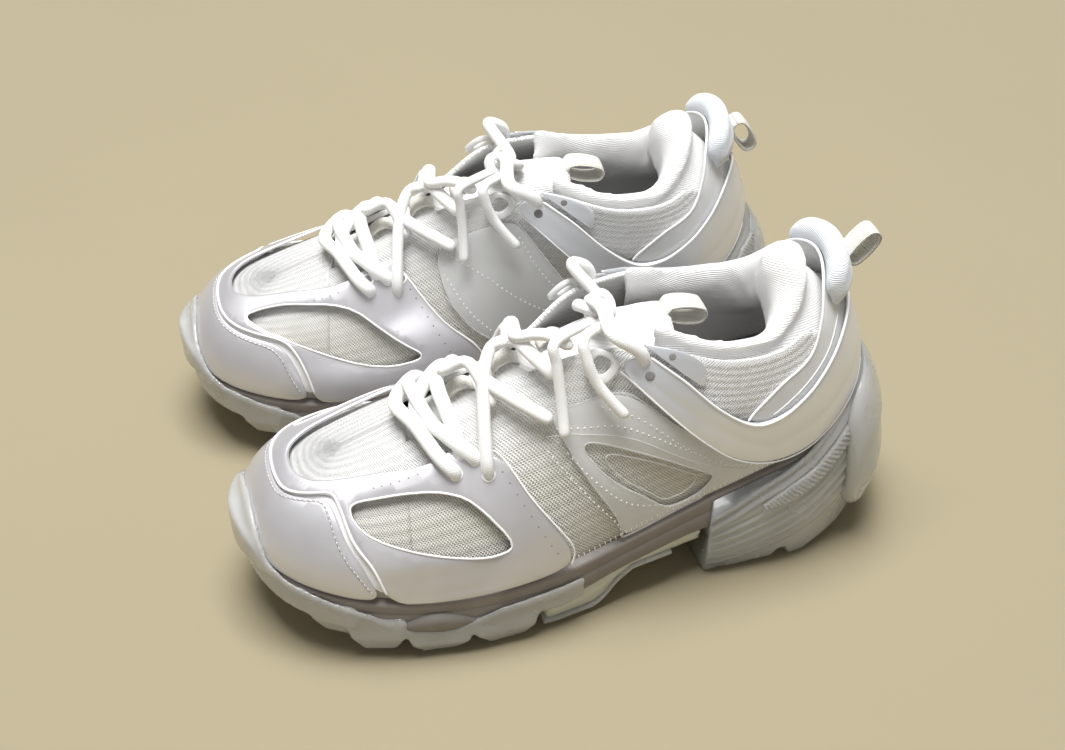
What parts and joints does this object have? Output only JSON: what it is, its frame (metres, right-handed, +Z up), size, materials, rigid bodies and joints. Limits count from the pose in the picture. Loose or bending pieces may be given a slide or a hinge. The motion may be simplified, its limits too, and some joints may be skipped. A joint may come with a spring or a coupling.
{
  "type": "trainers",
  "caption": "Low-cut layered trainers with clear rubber soles, mesh uppers under film and moulded overlays, padded collars and tongues, pull loops and tied laces",
  "frame": {"origin": "centre of the pair's footprint, on the ground", "axes": "+X from the toes to the heels, +Y from the left shoe to the right shoe, +Z up"},
  "size_m": [0.3152, 0.2584, 0.1465],
  "materials": {
    "clear_rubber": "milky, translucent",
    "foam": "matt foam",
    "shank_rubber": "milky, translucent",
    "board": "matt",
    "sockliner": "matt woven",
    "mesh": "open knit mesh",
    "moulded_overlay": "satin, slightly pearly",
    "film": "clear film, satin",
    "knit": "ribbed padded knit",
    "webbing": "ribbed webbing",
    "tab_knit": "ribbed padded knit",
    "lace_cord": "woven cord"
  },
  "bodies": {
    "left_shoe": {"left_outsole_forefoot": "clear_rubber", "left_outsole_heel": "clear_rubber", "left_heel_fender": "clear_rubber", "left_midsole": "foam", "left_shank": "shank_rubber", "left_insole_board": "board", "left_sockliner": "sockliner", "left_vamp_mesh": "mesh", "left_outer_quarter_mesh": "mesh", "left_inner_quarter_mesh": "mesh", "left_toe_cap": "moulded_overlay", "left_forefoot_cage": "moulded_overlay", "left_outer_wing": "film", "left_inner_wing": "film", "left_outer_strap": "moulded_overlay", "left_inner_strap": "moulded_overlay", "left_outer_eyestay": "moulded_overlay", "left_inner_eyestay": "moulded_overlay", "left_heel_blade": "film", "left_collar_padding": "knit", "left_tongue": "knit", "left_heel_tab": "tab_knit", "left_lace": "lace_cord", "left_lace_knot": "lace_cord", "left_lace_end_front": "lace_cord", "left_lace_end_rear": "lace_cord"},
    "right_shoe": {"right_outsole_forefoot": "clear_rubber", "right_outsole_heel": "clear_rubber", "right_heel_fender": "clear_rubber", "right_midsole": "foam", "right_shank": "shank_rubber", "right_insole_board": "board", "right_sockliner": "sockliner", "right_vamp_mesh": "mesh", "right_outer_quarter_mesh": "mesh", "right_inner_quarter_mesh": "mesh", "right_toe_cap": "moulded_overlay", "right_forefoot_cage": "moulded_overlay", "right_outer_wing": "film", "right_inner_wing": "film", "right_outer_strap": "moulded_overlay", "right_inner_strap": "moulded_overlay", "right_outer_eyestay": "moulded_overlay", "right_inner_eyestay": "moulded_overlay", "right_heel_blade": "film", "right_collar_padding": "knit", "right_tongue": "knit", "right_heel_tab": "tab_knit", "right_lace": "lace_cord", "right_lace_knot": "lace_cord", "right_lace_end_front": "lace_cord", "right_lace_end_rear": "lace_cord"},
    "left_tongue_top_flap": {"left_tongue_top": "knit"},
    "left_tongue_pull": {"left_tongue_loop": "webbing"},
    "left_heel_pull": {"left_heel_loop": "webbing"},
    "right_tongue_top_flap": {"right_tongue_top": "knit"},
    "right_tongue_pull": {"right_tongue_loop": "webbing"},
    "right_heel_pull": {"right_heel_loop": "webbing"}
  },
  "joints": [
    {"name": "right_shoe_lift", "type": "slide", "parent": "left_shoe", "child": "right_shoe", "axis": [0, 0, 1], "range_m": [0, 0.25]},
    {"name": "left_tongue_bend", "type": "hinge", "parent": "left_shoe", "child": "left_tongue_top_flap", "pos_m": [0.0088, -0.06261, 0.1148], "axis": [-0.0105, 0.9999, 0], "range_deg": [-12, 8], "stiffness_Nm_per_rad": 0.15},
    {"name": "left_tongue_pull_bend", "type": "hinge", "parent": "left_tongue_top_flap", "child": "left_tongue_pull", "pos_m": [0.0522, -0.06216, 0.1194], "axis": [-0.0105, 0.9999, 0], "range_deg": [-60, 30], "stiffness_Nm_per_rad": 0.02},
    {"name": "left_heel_pull_bend", "type": "hinge", "parent": "left_shoe", "child": "left_heel_pull", "pos_m": [0.13479, -0.06129, 0.1335], "axis": [-0.0105, 0.9999, 0], "range_deg": [-40, 85], "stiffness_Nm_per_rad": 0.02},
    {"name": "right_tongue_bend", "type": "hinge", "parent": "right_shoe", "child": "right_tongue_top_flap", "pos_m": [-0.00122, 0.05979, 0.1148], "axis": [0.0628, 0.998, 0], "range_deg": [-12, 8], "stiffness_Nm_per_rad": 0.15},
    {"name": "right_tongue_pull_bend", "type": "hinge", "parent": "right_tongue_top_flap", "child": "right_tongue_pull", "pos_m": [0.0421, 0.05706, 0.1194], "axis": [0.0628, 0.998, 0], "range_deg": [-60, 30], "stiffness_Nm_per_rad": 0.02},
    {"name": "right_heel_pull_bend", "type": "hinge", "parent": "right_shoe", "child": "right_heel_pull", "pos_m": [0.12454, 0.05187, 0.1335], "axis": [0.0628, 0.998, 0], "range_deg": [-90, 8], "stiffness_Nm_per_rad": 0.02}
  ]
}
